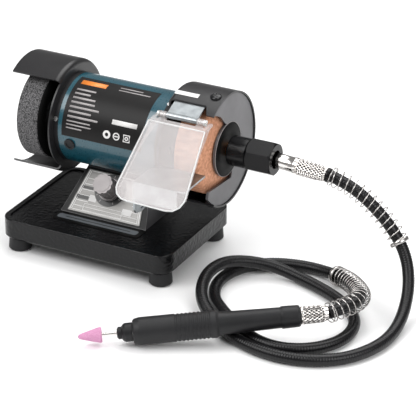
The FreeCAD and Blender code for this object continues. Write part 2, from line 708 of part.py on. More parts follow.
def make_coupling():
    collar = [("92", "5"), ("98", "5"), ("98", "4.2"), ("120", "4.2"), ("120", "8.5"),
              ("108", "8.5"), ("108", "11"), ("107.2", "11.8"), ("92.8", "11.8"),
              ("92", "11")]
    node("flex_collar", lathe(collar))
    bar = hex_bar("14", "108.3", "129.7")
    ends = lathe([("108.3", "0"), ("108.3", "12"), ("110.2", "14.2"), ("127.8", "14.2"),
                  ("129.7", "12"), ("129.7", "0")])
    bores = [rod("8.5", "108", "124"), rod("7.3", "123", "131")]
    node("coupling_nut", cut(common(bar, ends), *bores))


def on_ferrule(body):
    turn(body, (0, 1, 0), "ferrule_drop")
    return place(body, "ferrule_x", "axis_back", "axis_height")


def make_ferrule():
    ball = doc.addObject("Part::Sphere", "Ball")
    bind(ball, Radius="6.25")
    place(ball, "ferrule_x", "axis_back", "axis_height")
    stub = on_ferrule(spin([("0", "0"), ("0", "6.25"), ("6", "6.25"), ("6.5", "5.8"),
                            ("7.5", "5.8"), ("8", "6.25"), ("19.7", "6.25"), ("19.7", "0")]))
    node("front_ferrule", fuse(rod("8.3", "120", "123.5"), rod("6.25", "123.5", "ferrule_x"),
                               ball, stub))
    sleeve = [("19.7", "0"), ("19.7", "6.1"), ("20.4", "6.6"), ("36", "6.4"), ("44", "5.2"),
              ("44.6", "5.6"), ("47", "5.6"), ("48.1", "5.1"), ("48.1", "0")]
    node("front_sleeve", on_ferrule(spin(sleeve)))


def rounded_path(points):
    """Straight runs joined by tangent arcs; returns the wire's edges, a run then an arc in
    turn, and the arc radii."""
    spots = [FreeCAD.Vector(*p) for p in points]
    edges = []
    radii = []
    start = spots[0]
    for before, here, after in zip(spots, spots[1:], spots[2:]):
        into = (here - before).normalize()
        out = (after - here).normalize()
        half = into.getAngle(out) / 2
        reach = 0.45 * min((here - before).Length, (after - here).Length)
        radii.append(reach / math.tan(half))
        first = here - into * reach
        last = here + out * reach
        towards = (out - into).normalize()
        centre = here + towards * (radii[-1] / math.cos(half))
        middle = centre - towards * radii[-1]
        edges.append(Part.LineSegment(start, first).toShape())
        edges.append(Part.Arc(first, middle, last).toShape())
        start = last
    edges.append(Part.LineSegment(start, spots[-1]).toShape())
    return edges, radii


def make_hose():
    edges, radii = rounded_path(HOSE_ROUTE)
    wire = Part.Wire(edges)
    start = FreeCAD.Vector(*HOSE_ROUTE[0])
    along = (FreeCAD.Vector(*HOSE_ROUTE[1]) - start).normalize()
    ring = Part.Wire([Part.makeCircle(value("hose_radius"), start, along)])
    tube = wire.makePipeShell([ring], True, True, 2)
    feature = doc.addObject("Part::Feature", "Hose")
    feature.Shape = tube
    node("flex_hose", cut(feature, nodes["front_sleeve"], nodes["rear_sleeve"]))
    section = math.pi * value("hose_radius") ** 2
    print("hose arc radii", [round(r, 1) for r in radii])
    print("hose length %.1f, volume %.0f, section x length %.0f"
          % (wire.Length, tube.Volume, section * wire.Length))
    return edges


def washer(centre, along, thick):
    outer = Part.makeCylinder(value("spring_outer"), thick, centre, along)
    inner = Part.makeCylinder(value("hose_radius"), thick, centre, along)
    return outer.cut(inner)


def sleeve_along(edges, first_along, last_along):
    """Hollow tube of a coil's outer size about part of the hose, closed on it at both ends."""
    wire = Part.Wire(edges)
    start = edges[0].Vertexes[0].Point
    end = edges[-1].Vertexes[-1].Point
    shells = []
    for radius in (value("spring_outer"), value("spring_outer-2*wire_radius")):
        ring = Part.Wire([Part.makeCircle(radius, start, first_along)])
        shells.append(wire.makePipeShell([ring], True, True, 2))
    tube = shells[0].cut(shells[1])
    tube = tube.fuse([washer(start, first_along, 1.5), washer(end, last_along * -1, 1.5)])
    feature = doc.addObject("Part::Feature", "Coil")
    feature.Shape = tube.removeSplitter()
    return feature


def run_direction(index):
    return (FreeCAD.Vector(*HOSE_ROUTE[index + 1])
            - FreeCAD.Vector(*HOSE_ROUTE[index])).normalize()


def make_springs(edges):
    last_run = len(HOSE_ROUTE) - 2
    front = sleeve_along(edges[:2 * FRONT_COIL_LAST_RUN + 1], run_direction(0),
                         run_direction(FRONT_COIL_LAST_RUN))
    rear = sleeve_along(edges[2 * REAR_COIL_FIRST_RUN:], run_direction(REAR_COIL_FIRST_RUN),
                        run_direction(last_run))
    node("front_spring", cut(front, nodes["front_sleeve"]))
    node("rear_spring", cut(rear, nodes["rear_sleeve"]))


# ------------------------------------------------------------------ handpiece

def on_handpiece(body):
    """Put a turned part on the handpiece's line; along is measured back from the nose."""
    back = FreeCAD.Vector(-value("tip_x"), -value("tip_y"), -value("tip_z")).normalize()
    nose = FreeCAD.Vector(value("nose_x"), value("nose_y"), value("nose_z"))
    body.Placement = FreeCAD.Placement(nose, FreeCAD.Rotation(FreeCAD.Vector(1, 0, 0), back))
    return body


def turned(points):
    return on_handpiece(spin([(str(s), str(r)) for s, r in points]))


def make_handpiece():
    grip = [(0, 5.2), (0, 8.2), (1.2, 9.4), (5, 10.25)]
    for start in range(31, 58, 3):
        grip += [(start, 10.25), (start + 0.5, 9.8), (start + 1.5, 9.8), (start + 2, 10.25)]
    grip += [(61, 10.25), (63, 8.8), (63, 5.2), (21, 5.2), (21, 8), (12, 8), (12, 5.2)]
    node("handpiece_grip", turned(grip))
    node("handpiece_body", turned([(63, 3), (63, 8.8), (70, 8.4), (108.5, 7.7), (108.5, 8.2),
                                   (110, 8.4), (121, 8.1), (122.4, 7.4), (122.4, 3)]))
    node("rear_sleeve", turned([(122.4, 0), (122.4, 6.5), (124, 6.9), (138, 6.6), (143, 5.2),
                                (143, 0)]))
    node("handpiece_bearing", turned([(12, 4.05), (19, 4.05), (19, 8), (12, 8)]))
    node("handpiece_spindle", turned([(-0.4, 0), (-0.4, 4), (58, 4), (58, 0)]))
    node("collet_nut", turned([(-11.7, 1.35), (-11.7, 3.4), (-10.6, 4.6), (-8.4, 4.6),
                               (-7.2, 6.2), (-5.6, 7), (-0.4, 7), (-0.4, 1.35)]))
    node("mandrel", turned([(-23, 0), (-23, 1.35), (-0.4, 1.35), (-0.4, 0)]))
    stone = [(-23, 0), (-23, 5.4), (-23.9, 5.9), (-27, 5.2), (-37, 2.5), (-39.6, 1.6),
             (-40.7, 0)]
    node("mounted_stone", turned(stone))


# -------------------------------------------------------------------- build

def check_and_export():
    doc.recompute()
    for item in doc.Objects:
        if "Invalid" in item.State or "Error" in item.State:
            raise RuntimeError(f"{item.Name} {item.Label}: {item.State}")
    os.makedirs("parts", exist_ok=True)
    for name, item in nodes.items():
        shape = item.Shape
        if shape.isNull() or not shape.isValid() or shape.Volume <= 0:
            raise RuntimeError(f"{name}: bad shape")
        shape.exportStep(f"parts/{name}.step")
        print(f"{name}: {shape.Volume:.0f} mm3, {len(shape.Solids)} solids")
    print(len(nodes), "parts")


write_sizes()
make_base()
make_feet()
make_deck_plate()
make_gland()
make_pedestal()
make_panel()
make_knob()
make_board()
make_motor()
make_field()
make_brushes()
make_bearings()
make_rotor()
make_guards()
make_wheels()
make_shield_bracket()
make_eye_shield()
make_tool_rest()
make_flex_bracket()
make_coupling()
make_ferrule()
make_handpiece()
make_springs(make_hose())
check_and_export()
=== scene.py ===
import math

import bpy
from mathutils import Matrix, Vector


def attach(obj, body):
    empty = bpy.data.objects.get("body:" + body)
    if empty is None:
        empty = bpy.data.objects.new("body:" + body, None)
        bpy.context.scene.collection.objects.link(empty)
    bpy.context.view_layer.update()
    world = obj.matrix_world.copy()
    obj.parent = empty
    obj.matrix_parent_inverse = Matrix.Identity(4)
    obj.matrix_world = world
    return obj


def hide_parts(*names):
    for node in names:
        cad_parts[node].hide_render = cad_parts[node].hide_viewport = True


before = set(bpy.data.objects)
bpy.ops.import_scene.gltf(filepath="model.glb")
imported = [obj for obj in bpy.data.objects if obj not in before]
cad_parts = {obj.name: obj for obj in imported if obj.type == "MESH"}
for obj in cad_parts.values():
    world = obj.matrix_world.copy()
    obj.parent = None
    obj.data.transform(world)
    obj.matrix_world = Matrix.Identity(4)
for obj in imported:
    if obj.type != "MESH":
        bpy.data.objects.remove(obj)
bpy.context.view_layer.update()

MM = 0.001
AXIS_Y, AXIS_Z = 20.5, 92.6          # the spindle, mm
SLOPE = math.radians(47.1)           # the control panel's slope
SLOPE_Y, SLOPE_Z = -19.0, 27.5       # its lower edge
SLOPE_LENGTH = 44.4                  # how far the slope runs up
SLOPE_LEFT, SLOPE_RIGHT = -40.0, 37.0
SLOPE_TAPER = 10.7                   # how far each side leans in over that run
PANEL_LOW, PANEL_HIGH = 2.0, 38.0    # the silver panel on the slope
PANEL_LEFT, PANEL_RIGHT = -34.0, 31.0
PANEL_TAPER = 6.7
KNOB_X, KNOB_UP = -3.3, 24.5

# ------------------------------------------------------------------- camera

AZIMUTH, ELEVATION = math.radians(27.5), math.radians(26.46)
DISTANCE = 1.680
LENS = 188.0
ROLL = math.radians(0.2)
TARGET = Vector((0.08194, 0.0, 0.04937))


def make_camera():
    back = Vector((math.sin(AZIMUTH) * math.cos(ELEVATION),
                   -math.cos(AZIMUTH) * math.cos(ELEVATION), math.sin(ELEVATION)))
    camera = bpy.data.objects.new("camera", bpy.data.cameras.new("camera"))
    bpy.context.scene.collection.objects.link(camera)
    camera.data.lens = LENS
    camera.data.sensor_width = 36.0
    camera.data.clip_end = 20.0
    camera.location = TARGET + back * DISTANCE
    turn = back.to_track_quat("Z", "Y").to_matrix().to_4x4()
    camera.rotation_euler = turn.to_euler()
    camera.rotation_euler.rotate_axis("Z", ROLL)
    bpy.context.scene.camera = camera


# ---------------------------------------------------------------- materials

def shader(name, color, rough, metal=0.0, coat=0.0, spec=0.5, alpha=1.0):
    material = bpy.data.materials.new(name)
    material.use_nodes = True
    node = material.node_tree.nodes["Principled BSDF"]
    node.inputs["Base Color"].default_value = (*color, 1.0)
    node.inputs["Roughness"].default_value = rough
    node.inputs["Metallic"].default_value = metal
    node.inputs["Coat Weight"].default_value = coat
    node.inputs["Coat Roughness"].default_value = 0.08
    node.inputs["Specular IOR Level"].default_value = spec
    node.inputs["Alpha"].default_value = alpha
    return material, material.node_tree, node


def noise(tree, scale, detail=4.0, stretch=(1, 1, 1)):
    """Noise in the part's own metres."""
    place = tree.nodes.new("ShaderNodeTexCoord")
    mapping = tree.nodes.new("ShaderNodeMapping")
    mapping.inputs["Scale"].default_value = stretch
    texture = tree.nodes.new("ShaderNodeTexNoise")
    texture.inputs["Scale"].default_value = scale
    texture.inputs["Detail"].default_value = detail
    tree.links.new(place.outputs["Object"], mapping.inputs["Vector"])
    tree.links.new(mapping.outputs["Vector"], texture.inputs["Vector"])
    return texture.outputs["Fac"]


def ramp(tree, source, low, high, start=0.35, end=0.65):
    node = tree.nodes.new("ShaderNodeValToRGB")
    node.color_ramp.elements[0].position = start
    node.color_ramp.elements[1].position = end
    node.color_ramp.elements[0].color = (*low, 1.0)
    node.color_ramp.elements[1].color = (*high, 1.0)
    tree.links.new(source, node.inputs["Fac"])
    return node.outputs["Color"]


def spread(tree, source, low, high):
    node = tree.nodes.new("ShaderNodeMapRange")
    node.inputs["To Min"].default_value = low
    node.inputs["To Max"].default_value = high
    tree.links.new(source, node.inputs["Value"])
    return node.outputs["Result"]


def bump(tree, shade, source, strength, depth):
    node = tree.nodes.new("ShaderNodeBump")
    node.inputs["Strength"].default_value = strength
    node.inputs["Distance"].default_value = depth
    tree.links.new(source, node.inputs["Height"])
    tree.links.new(node.outputs["Normal"], shade.inputs["Normal"])


def finish_material(name, color, rough, vary=0.12, grain=900.0, depth=0.00004, strength=0.3,
                    patch=60.0, stretch=(1, 1, 1), **more):
    """Colour drifts softly over the part, and fine grain varies the roughness and breaks the gloss.
    """
    material, tree, shade = shader(name, color, rough, **more)
    drift = noise(tree, patch, 3.0, stretch)
    low = tuple(c * (1 - vary) for c in color)
    high = tuple(min(1.0, c * (1 + vary)) for c in color)
    tree.links.new(ramp(tree, drift, low, high), shade.inputs["Base Color"])
    fine = noise(tree, grain, 3.0, stretch)
    tree.links.new(spread(tree, fine, rough * 0.85, min(1.0, rough * 1.2)),
                   shade.inputs["Roughness"])
    bump(tree, shade, fine, strength, depth)
    return material


def speckled_material(name, dark, light, rough, scale, depth):
    """Bonded grit: light and dark grains with a rough face."""
    material, tree, shade = shader(name, light, rough)
    cells = tree.nodes.new("ShaderNodeTexVoronoi")
    cells.inputs["Scale"].default_value = scale
    place = tree.nodes.new("ShaderNodeTexCoord")
    tree.links.new(place.outputs["Object"], cells.inputs["Vector"])
    tree.links.new(ramp(tree, cells.outputs["Distance"], light, dark, 0.1, 0.75),
                   shade.inputs["Base Color"])
    bump(tree, shade, cells.outputs["Distance"], 0.8, depth)
    return material


def make_materials():
    m = {}
    m["base"] = finish_material("base_black", (0.005, 0.005, 0.0055), 0.17, grain=380.0,
                                depth=0.0008, strength=0.65, spec=0.28)
    m["smooth_black"] = finish_material("smooth_black", (0.040, 0.039, 0.042), 0.38,
                                        grain=1500.0, depth=0.00002, spec=0.45)
    m["gloss_black"] = finish_material("gloss_black", (0.005, 0.005, 0.0055), 0.24,
                                       grain=1200.0, depth=0.00002, spec=0.2)
    m["hood_black"] = finish_material("hood_black", (0.014, 0.0135, 0.0145), 0.32,
                                      grain=1300.0, depth=0.00002, spec=0.45)
    m["plastic"] = finish_material("black_plastic", (0.010, 0.010, 0.011), 0.42, grain=1800.0,
                                   depth=0.00004, spec=0.28)
    m["rubber"] = finish_material("black_rubber", (0.010, 0.010, 0.011), 0.5, grain=1500.0,
                                  depth=0.00008, spec=0.35)
    m["teal"] = finish_material("teal_paint", (0.004, 0.060, 0.086), 0.28, vary=0.08,
                                grain=800.0, depth=0.00004, coat=0.6)
    m["label"] = finish_material("label_black", (0.008, 0.0075, 0.0075), 0.4, vary=0.05,
                                 grain=2000.0, depth=0.00001, spec=0.2)
    m["print_white"] = finish_material("print_white", (0.72, 0.71, 0.70), 0.5, vary=0.04)
    m["print_grey"] = finish_material("print_grey", (0.34, 0.32, 0.32), 0.5, vary=0.06)
    m["print_orange"] = finish_material("print_orange", (0.80, 0.24, 0.04), 0.4, vary=0.08)
    m["panel"] = finish_material("panel_silver", (0.235, 0.23, 0.222), 0.42, metal=0.5,
                                 grain=900.0, depth=0.00002, stretch=(0.08, 1, 1), patch=200.0)
    m["panel_dark"] = finish_material("panel_dark", (0.012, 0.012, 0.012), 0.35)
    m["blue_grey"] = finish_material("blue_grey", (0.15, 0.165, 0.18), 0.34, metal=0.4,
                                     grain=900.0, depth=0.00003, stretch=(0.08, 1, 1))
    m["steel"] = finish_material("screw_steel", (0.62, 0.62, 0.61), 0.26, metal=1.0,
                                 grain=1500.0, depth=0.00002)
    m["zinc"] = finish_material("zinc_sheet", (0.30, 0.32, 0.33), 0.3, metal=1.0, vary=0.2,
                                grain=700.0, depth=0.00005, patch=110.0)
    m["chrome"] = finish_material("polished_steel", (0.80, 0.775, 0.75), 0.14, metal=1.0,
                                  vary=0.05, grain=1200.0, depth=0.00001)
    m["knurl"] = finish_material("knurled_steel", (0.80, 0.77, 0.745), 0.2, metal=1.0,
                                 vary=0.12, grain=1400.0, depth=0.00002)
    # dark material for the knurl's grooves: painted shade in its hollows
    m["groove"] = finish_material("knurl_groove", (0.045, 0.042, 0.04), 0.5, metal=0.5)
    m["wire"] = finish_material("spring_wire", (0.52, 0.50, 0.485), 0.22, metal=1.0,
                                vary=0.05, grain=1200.0, depth=0.00001)
    m["copper"] = finish_material("copper_wire", (0.62, 0.24, 0.12), 0.35, metal=1.0,
                                  grain=1600.0, depth=0.0001, stretch=(0.1, 1, 1))
    m["brass"] = finish_material("brass", (0.78, 0.42, 0.24), 0.3, metal=1.0)
    m["core"] = finish_material("core_steel", (0.3, 0.3, 0.31), 0.45, metal=0.9,
                                grain=2500.0, stretch=(1, 0.05, 0.05))
    m["carbon"] = finish_material("carbon", (0.03, 0.03, 0.03), 0.7)
    m["board"] = finish_material("board_green", (0.02, 0.12, 0.05), 0.4)
    m["grit"] = speckled_material("grit_grey", (0.015, 0.015, 0.016), (0.21, 0.205, 0.21), 0.85,
                                  1100.0, 0.0004)
    m["orange"] = make_orange()
    m["stone"] = speckled_material("stone_pink", (0.52, 0.20, 0.36), (0.71, 0.40, 0.58), 0.8,
                                   1900.0, 0.0002)
    m["knob"] = finish_material("knob_silver", (0.27, 0.25, 0.25), 0.42, metal=0.3,
                                grain=1500.0, depth=0.00003)
    m["hose"] = finish_material("hose_black", (0.006, 0.0058, 0.0065), 0.26, grain=1200.0,
                                depth=0.00006, spec=0.3)
    m["clear"] = make_clear("clear_sheet", (0.71, 0.67, 0.665), 0.34, 0.2)
    # whiter, more opaque edge: the frosted cut edge plus a painted highlight along it
    m["clear_edge_frost_and_highlight"] = make_clear("clear_edge_frost_and_highlight", (0.86, 0.88, 0.88), 0.7, 0.15)
    m["floor"] = finish_material("floor_white", (0.93, 0.93, 0.93), 0.6, vary=0.005)
    # black painted shade: for the grinding wheel's face towards the motor and the bracket's
    # recessed hub, which lie in shade
    m["wheel_face"] = finish_material("wheel_face_black", (0.006, 0.006, 0.006), 0.5, spec=0.06)
    # the bracket's grey is painted light: the lit tone of its arms, whose recessed hub gets the
    # black painted shade
    m["bracket_lit_grey"] = finish_material("bracket_lit_grey", (0.10, 0.098, 0.104), 0.3, vary=0.2,
                                      patch=28.0, grain=1200.0, depth=0.00002, metal=0.4)
    m["surround"] = finish_material("surround_black", (0.005, 0.005, 0.005), 0.3, spec=0.15)
    m["steel_dark"] = finish_material("dark_screw", (0.012, 0.012, 0.013), 0.2, metal=0.3)
    return m


def make_orange():
    """Orange wheel: darker and lighter streaks of fine fibre."""
    material, tree, shade = shader("wheel_orange", (0.55, 0.22, 0.10), 0.8)
    streak = noise(tree, 420.0, 5.0, (0.4, 1, 1))
    tree.links.new(ramp(tree, streak, (0.46, 0.19, 0.095), (0.78, 0.40, 0.25), 0.3, 0.7),
                   shade.inputs["Base Color"])
    bump(tree, shade, noise(tree, 1600.0), 0.7, 0.0003)
    return material


def make_clear(name, color, alpha, rough):
    material, tree, shade = shader(name, color, rough, spec=0.6, alpha=alpha)
    cloud = noise(tree, 45.0, 3.0)
    low = tuple(c * 0.94 for c in color)
    tree.links.new(ramp(tree, cloud, low, color), shade.inputs["Base Color"])
    bump(tree, shade, noise(tree, 500.0), 0.08, 0.00005)
    material.surface_render_method = "BLENDED"
    return material


NODE_MATERIALS = {
    "base": ["base_casting"],
    "plastic": ["bottom_cover", "end_bell_left", "end_bell_right", "brush_caps",
                "cooling_fan", "potentiometer", "collet_nut", "handpiece_body"],
    "rubber": ["rubber_feet", "cable_gland", "handpiece_grip"],
    "steel": ["base_screws", "guard_screws", "hinge_bolt", "rest_bolt", "spindle_nuts",
              "handpiece_spindle", "bell_screws"],
    "smooth_black": ["pedestal"],
    "hood_black": ["guard_left", "guard_right"],
    "gloss_black": ["flex_collar", "coupling_nut"],
    # grey for the bracket: painted lit tone
    "bracket_lit_grey": ["flex_bracket"],
    "panel": ["control_panel"],
    "panel_dark": ["dial_disc"],
    "surround": ["deck_plate"],
    "teal": ["motor_housing"],
    "label": ["motor_label"],
    "print_white": ["inspection_tag"],
    "core": ["field_stator", "armature_core"],
    "copper": ["field_windings", "armature_windings", "commutator"],
    "brass": ["brush_holders", "spindle_bushing"],
    "carbon": ["carbon_brushes"],
    "board": ["control_board"],
    "chrome": ["bearing_left", "bearing_right", "rotor_shaft", "mandrel",
               "handpiece_bearing"],
    "grit": ["grinding_wheel"],
    "orange": ["polishing_wheel"],
    "zinc": ["shield_bracket", "tool_rest", "wheel_flanges"],
    "clear": ["eye_shield"],
    "knob": ["speed_knob"],
    "stone": ["mounted_stone"],
}


def dress_nodes(m):
    for key, names in NODE_MATERIALS.items():
        for name in names:
            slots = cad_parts[name].data.materials
            if len(slots) == 0:
                slots.append(m[key])
            for index in range(len(slots)):
                slots[index] = m[key]


# ------------------------------------------------------------------- meshes

def add_mesh(name, points, faces, material, slot, body="frame", smooth=True):
    """Mesh given in millimetres, riding on a body."""
    mesh = bpy.data.meshes.new(name)
    mesh.from_pydata([tuple(c * MM for c in p) for p in points], [], faces)
    mesh.update()
    piece = bpy.data.objects.new(name, mesh)
    bpy.context.scene.collection.objects.link(piece)
    mesh.materials.append(material)
    if smooth:
        mesh.shade_smooth()
    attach(piece, body)
    return piece


def axes(direction):
    """A direction as a unit vector, and two more across it."""
    along = Vector(direction).normalized()
    side = along.orthogonal().normalized()
    return along, side, along.cross(side)


def frames_along(path):
    """Side and up vectors that turn as little as possible along a path."""
    count = len(path)
    along = [(path[min(i + 1, count - 1)] - path[max(i - 1, 0)]).normalized()
             for i in range(count)]
    side = along[0].orthogonal().normalized()
    result = []
    for direction in along:
        side = (side - direction * side.dot(direction)).normalized()
        result.append((side.copy(), direction.cross(side)))
    return result


def ring_faces(rings, sides):
    """Side faces of a stack of rings, then its two end faces."""
    faces = []
    for ring in range(rings - 1):
        for step in range(sides):
            a = ring * sides + step
            b = ring * sides + (step + 1) % sides
            faces.append((a, b, b + sides, a + sides))
    last = (rings - 1) * sides
    return faces + [tuple(range(sides))[::-1], tuple(range(last, last + sides))]


def tube(path, radius_at, sides):
    """Closed tube; its radius is a function of the ring's number."""
    points = []
    for ring, (centre, (side, up)) in enumerate(zip(path, frames_along(path))):
        for step in range(sides):
            angle = 2 * math.pi * step / sides
            out = side * math.cos(angle) + up * math.sin(angle)
            points.append(centre + out * radius_at(ring))
    return points, ring_faces(len(path), sides)


def wire(path, radius, sides):
    """Closed tube of one thickness."""
    return tube(path, lambda ring: radius, sides)


def lathe(origin, direction, profile, sides):
    """Closed turned solid from (along, radius) pairs about a line."""
    along, side, up = axes(direction)
    points = []
    faces = []
    count = len(profile)
    for step in range(sides):
        angle = 2 * math.pi * step / sides
        out = side * math.cos(angle) + up * math.sin(angle)
        points += [Vector(origin) + along * s + out * r for s, r in profile]
    for step in range(sides):
        nxt = (step + 1) % sides
        for k in range(count - 1):
            faces.append((step * count + k, step * count + k + 1,
                          nxt * count + k + 1, nxt * count + k))
    return points, faces


def merge(parts):
    """Joins several (points, faces) sets."""
    points = []
    faces = []
    for more, their_faces in parts:
        base = len(points)
        points += list(more)
        faces += [tuple(base + i for i in face) for face in their_faces]
    return points, faces


def slab(low, high):
    """Closed solid between two outlines with the same number of corners."""
    count = len(low)
    faces = [tuple(range(count))[::-1], tuple(range(count, 2 * count))]
    faces += [(i, (i + 1) % count, count + (i + 1) % count, count + i) for i in range(count)]
    return list(low) + list(high), faces


def on_panel(x, up, height):
    return Vector((x, SLOPE_Y + up * math.cos(SLOPE) - height * math.sin(SLOPE),
                   SLOPE_Z + up * math.sin(SLOPE) + height * math.cos(SLOPE)))


# levels of a print's underside and top over the slope
PANEL_PRINT = 0.8, 0.92
PANEL_OVERPRINT = 0.92, 1.0
DIAL_PRINT = 1.2, 1.3
MARGIN_PRINT = 0.02, 0.12


def panel_bar(corners, levels=PANEL_PRINT):
    """Printed shape on the sloping panel from (x, up) corners, as a very thin solid."""
    low, high = levels
    return slab([on_panel(x, u, low) for x, u in corners],
                [on_panel(x, u, high) for x, u in corners])


def rectangle(x0, x1, u0, u1):
    return [(x0, u0), (x1, u0), (x1, u1), (x0, u1)]


def on_can(x, angle, radius):
    """Point round the spindle; angles run from the top towards the front."""
    turn = math.radians(angle)
    return Vector((x, AXIS_Y - radius * math.sin(turn), AXIS_Z + radius * math.cos(turn)))


def can_patch(x0, x1, a0, a1, inner, outer, steps=None):
    """Thin curved solid on a cylinder about the spindle."""
    steps = steps or max(1, int(abs(a1 - a0) / 2))
    points = []
    for step in range(steps + 1):
        angle = a0 + (a1 - a0) * step / steps
        points += [on_can(x0, angle, inner), on_can(x1, angle, inner),
                   on_can(x1, angle, outer), on_can(x0, angle, outer)]
    faces = [(0, 1, 2, 3)]
    for step in range(steps):
        a = step * 4
        faces += [(a + k, a + 4 + k, a + 4 + (k + 1) % 4, a + (k + 1) % 4) for k in range(4)]
    end = steps * 4
    faces.append((end + 3, end + 2, end + 1, end))
    return points, faces


# -------------------------------------------------------------------- shaft

ROUTE = [
    (176, 20.5, 89.2), (191, 20.5, 85.5), (209, 20.5, 74.5), (227, 20.5, 58), (241, 17, 40),
    (250, 4, 24), (255, -16, 10.5), (257, -40, 4.8), (254, -65, 4.8), (241, -90, 4.8),
    (219, -105, 4.8), (194, -110, 4.8), (168, -106, 4.8), (145, -95, 4.8), (129, -83, 5),
    (114, -71, 9.5), (105.5, -56, 14), (102, -37, 17), (106, -18, 17), (117.5, -2, 13),
    (135, 6.5, 9), (156, 6, 5.5), (178, -1, 4.8), (197, -10, 4.8), (215, -23, 4.8),
    (227.5, -42, 4.8), (228.5, -65, 4.8), (217.5, -85.5, 4.8), (198, -98, 4.8),
    (174.5, -98, 4.8), (151, -84.5, 4.8), (131, -69, 4.8), (114, -53, 4.8), (105, -29, 4.8),
    (109, -3, 4.8), (127, 17, 4.8), (152, 25, 4.8), (176, 22, 6.2), (198, 9, 10.8),
    (215, -11, 16.8), (226.5, -30, 22.5), (227, -50, 25.5), (216, -67, 24.6),
]
HOSE_RADIUS = 4.7
FRONT_COIL, REAR_COIL = 73.3, 103.7   # how far each coil reaches from its end of the hose
FRONT_TURNS, REAR_TURNS = 14.5, 21.0
COIL_RADIUS = 7.3
WIRE_RADIUS = 0.45
CLOSED_TURNS = 0.8                    # of a coil, at each of its ends
BARE_END = 1.0                        # hose between a coil and the end of the route
RING_SPACING = 0.5                    # between the hose's rings
RIB_STEP = 0.13                       # the hose's ribs rise in two steps of this


def smooth_route():
    """The route's NURBS line as points, in millimetres."""
    data = bpy.data.curves.new("route", "CURVE")
    data.dimensions = "3D"
    spline = data.splines.new("NURBS")
    spline.points.add(len(ROUTE) - 1)
    for point, place in zip(spline.points, ROUTE):
        point.co = (*(c * MM for c in place), 1.0)
    spline.order_u = 3
    spline.use_endpoint_u = True
    spline.resolution_u = 40
    guide = bpy.data.objects.new("route", data)
    bpy.context.scene.collection.objects.link(guide)
    mesh = bpy.data.meshes.new_from_object(guide)
    line = [Vector(v.co) / MM for v in mesh.vertices]
    bpy.data.objects.remove(guide)
    bpy.data.meshes.remove(mesh)
    return line


def evenly(line, spacing):
    """The same line with even spacing."""
    lengths = [0.0]
    for a, b in zip(line, line[1:]):
        lengths.append(lengths[-1] + (b - a).length)
    count = max(2, int(round(lengths[-1] / spacing)))
    result = []
    k = 0
    for step in range(count + 1):
        want = lengths[-1] * step / count
        while k < len(lengths) - 2 and lengths[k + 1] < want:
            k += 1
        span = lengths[k + 1] - lengths[k]
        share = (want - lengths[k]) / span if span > 0 else 0.0
        result.append(line[k].lerp(line[k + 1], share))
    return result, lengths[-1]


def part_of(line, total, begin, end):
    spacing = total / (len(line) - 1)
    return line[int(round(begin / spacing)):int(round(end / spacing)) + 1]


def helix(line, turns, radius):
    """Points of a coil about a line, nearly one closed turn at each end."""
    steps = 32
    frames = frames_along(line)
    count = int(turns * steps)
    points = []
    for step in range(count + 1):
        turn = step / steps
        share = min(max((turn - CLOSED_TURNS) / (turns - 2 * CLOSED_TURNS), 0.0), 1.0)
        where = share * (len(line) - 1)
        k = min(int(where), len(line) - 2)
        centre = line[k].lerp(line[k + 1], where - k)
        side, up = frames[k]
        angle = 2 * math.pi * turn
        points.append(centre + (side * math.cos(angle) + up * math.sin(angle)) * radius)
    return points


def ribbed(ring):
    """The hose's radius at one of its rings."""
    return HOSE_RADIUS - RIB_STEP * (0, 1, 2, 1)[ring % 4]


def add_coil(name, run, turns, sides, band, m):
    """Spring guard about a run of the hose, with the round band that ends it."""
    coil = wire(helix(run, turns, COIL_RADIUS), WIRE_RADIUS, sides)
    return add_mesh(name, *merge([coil, band]), m["wire"], slot="chrome_steel")


def make_shaft(m):
    route = smooth_route()
    line, total = evenly(route, RING_SPACING)
    hose = add_mesh("hose", *tube(line, ribbed, 24), m["hose"], slot="hose_black")
    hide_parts("flex_hose")
    front = part_of(line, total, BARE_END, FRONT_COIL)
    front_coil = add_coil("front_coil", front, FRONT_TURNS, 10, ring_band(front[-3:], 3.2), m)
    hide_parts("front_spring")
    rear = part_of(line, total, total - REAR_COIL, total - BARE_END)
    rear_coil = add_coil("rear_coil", rear, REAR_TURNS, 8, ring_band(rear[:3], 3.0), m)
    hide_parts("rear_spring")
    sleeve = make_front_sleeve(m)
    ferrule = make_front_ferrule(m)
    rear_sleeve = make_rear_sleeve(m)
    on_cord = [front_coil, rear_coil, sleeve, ferrule, rear_sleeve]
    on_cord += [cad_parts[n] for n in ("handpiece_body", "handpiece_grip",
                                            "handpiece_bearing", "handpiece_spindle",
                                            "collet_nut", "mandrel", "mounted_stone")]


def ring_band(line, width):
    """Short round band about the middle one of three points of the hose."""
    inner, outer = HOSE_RADIUS + 0.1, COIL_RADIUS + 0.5
    along = (line[-1] - line[0]).normalized()
    start = line[1] - along * (width / 2)
    bevel = 0.4
    profile = [(0, inner), (0, outer - bevel), (bevel, outer), (width - bevel, outer),
               (width, outer - bevel), (width, inner), (0, inner)]
    return lathe(start, along, profile, 40)


FERRULE_START = (128.0, AXIS_Y, AXIS_Z)   # where the front fittings are measured from
FERRULE_DROP = math.radians(4.0)
FERRULE_LINE = (math.cos(FERRULE_DROP), 0.0, -math.sin(FERRULE_DROP))


KNURL_PITCH = 3.4
KNURL_DEPTH = 0.5
KNURL_AROUND = 17     # diamonds round a sleeve
SHADE_BELOW = 0.3          # faces whose mean lift is below this share of the depth are dark: painted shade in the knurl's grooves
